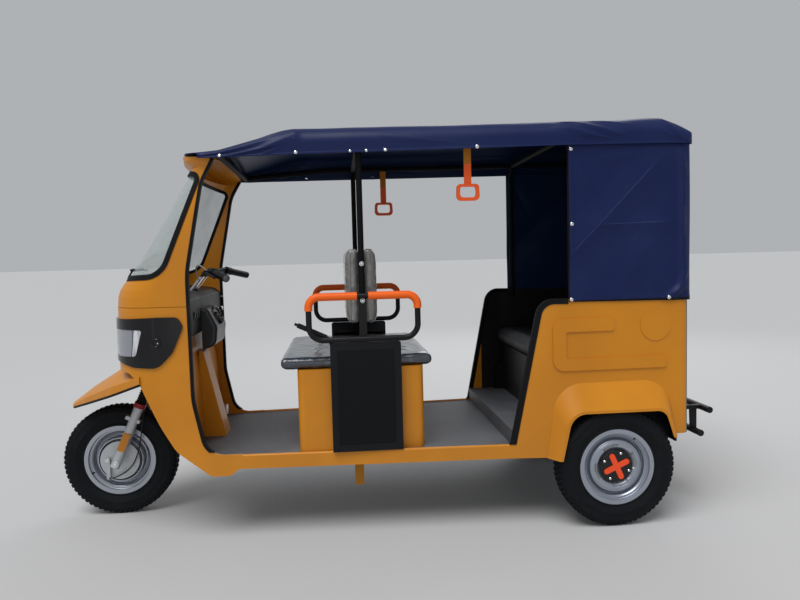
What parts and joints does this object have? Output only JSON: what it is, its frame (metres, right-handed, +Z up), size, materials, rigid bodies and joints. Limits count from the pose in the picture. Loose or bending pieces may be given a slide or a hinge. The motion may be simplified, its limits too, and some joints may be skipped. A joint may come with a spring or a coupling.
{
  "type": "auto rickshaw",
  "caption": "Three-wheeled passenger rickshaw: open-sided cab with wrap-round windscreen, fabric roof, driver's box seat, rear bench, steered front wheel and two rear wheels.",
  "frame": {"origin": "on the ground at the vehicle's mid-length, on its centre plane", "axes": "+X to the rear, +Y to the vehicle's right side, +Z up"},
  "size_m": [3.055, 1.152, 1.836],
  "materials": {
    "body_paint": "gloss orange-yellow paint",
    "black_paint": "gloss black paint",
    "chassis_black": "satin black chassis paint",
    "floor_mat": "ribbed grey floor mat",
    "clear_glass": "clear laminated glass",
    "black_rubber": "black rubber",
    "lamp_black": "gloss black plastic",
    "lamp_lens": "clear ribbed lens",
    "red_lens": "red lens",
    "amber_lens": "amber reflector",
    "dash_black": "matt black plastic",
    "pod_grey": "grey plastic",
    "battery_grey": "grey battery cases",
    "steel_bright": "bare steel",
    "seat_cover": "coated seat cover under film",
    "bench_cover": "dark coated seat cover",
    "grip_orange": "orange moulded plastic",
    "canvas_navy": "navy coated canvas",
    "fork_silver": "silver paint",
    "handlebar_black": "black bar with rubber grips",
    "rim_silver": "silver paint",
    "hub_black": "black hub plate",
    "tyre_black": "black tyre rubber"
  },
  "bodies": {
    "body": {"backrest_frame": "black_paint", "backrest_pads": "seat_cover", "battery_pack": "battery_grey", "bench_backrest": "bench_cover", "bench_box": "black_paint", "bench_cushion": "bench_cover", "brake_pedal": "steel_bright", "canopy_frame": "black_paint", "canopy_rear": "canvas_navy", "canopy_roof": "canvas_navy", "canopy_sides": "canvas_navy", "chassis_frame": "chassis_black", "dashboard": "dash_black", "door_trims": "black_rubber", "drive_motor": "chassis_black", "driver_cushion": "seat_cover", "floor_pan": "floor_mat", "front_bulkhead": "body_paint", "front_mudguard": "body_paint", "grab_rail_left": "black_paint", "grab_rail_right": "black_paint", "hand_straps": "grip_orange", "headlamp_lenses": "lamp_lens", "headlamp_panels": "lamp_black", "instrument_pod": "pod_grey", "leaf_springs": "chassis_black", "nose_lower": "body_paint", "parking_brake": "black_paint", "rail_grips": "grip_orange", "rear_axle": "chassis_black", "rear_bumper": "black_paint", "rear_panel": "body_paint", "rear_quarter_left": "body_paint", "rear_quarter_right": "body_paint", "seat_box": "body_paint", "side_panels": "black_paint", "side_sills": "body_paint", "tail_lamps": "red_lens", "wheel_tubs": "black_paint", "windscreen_glass": "clear_glass", "windscreen_seal": "black_rubber", "windscreen_surround": "body_paint"},
    "steering": {"control_cables": "black_rubber", "fork_boots": "black_rubber", "fork_reflectors": "amber_lens", "front_fork": "fork_silver", "handlebar": "handlebar_black"},
    "front_wheel": {"front_tyre": "tyre_black", "front_rim": "rim_silver"},
    "rear_wheel_left": {"rear_tyre_left": "tyre_black", "rear_rim_left": "rim_silver", "rear_hub_left": "hub_black"},
    "rear_wheel_right": {"rear_tyre_right": "tyre_black", "rear_rim_right": "rim_silver", "rear_hub_right": "hub_black"}
  },
  "joints": [
    {"name": "steering", "type": "hinge", "parent": "body", "child": "steering", "pos_m": [-1.2645, 0, 0.263], "axis": [0.4067, 0, 0.9135], "range_deg": [-35, 35]},
    {"name": "front_wheel_spin", "type": "hinge", "parent": "steering", "child": "front_wheel", "pos_m": [-1.2645, 0, 0.263], "axis": [0, 1, 0], "continuous": true},
    {"name": "rear_left_spin", "type": "hinge", "parent": "body", "child": "rear_wheel_left", "pos_m": [0.9985, -0.511, 0.263], "axis": [0, 1, 0], "continuous": true},
    {"name": "rear_right_spin", "type": "hinge", "parent": "body", "child": "rear_wheel_right", "pos_m": [0.9985, 0.511, 0.263], "axis": [0, 1, 0], "continuous": true}
  ]
}
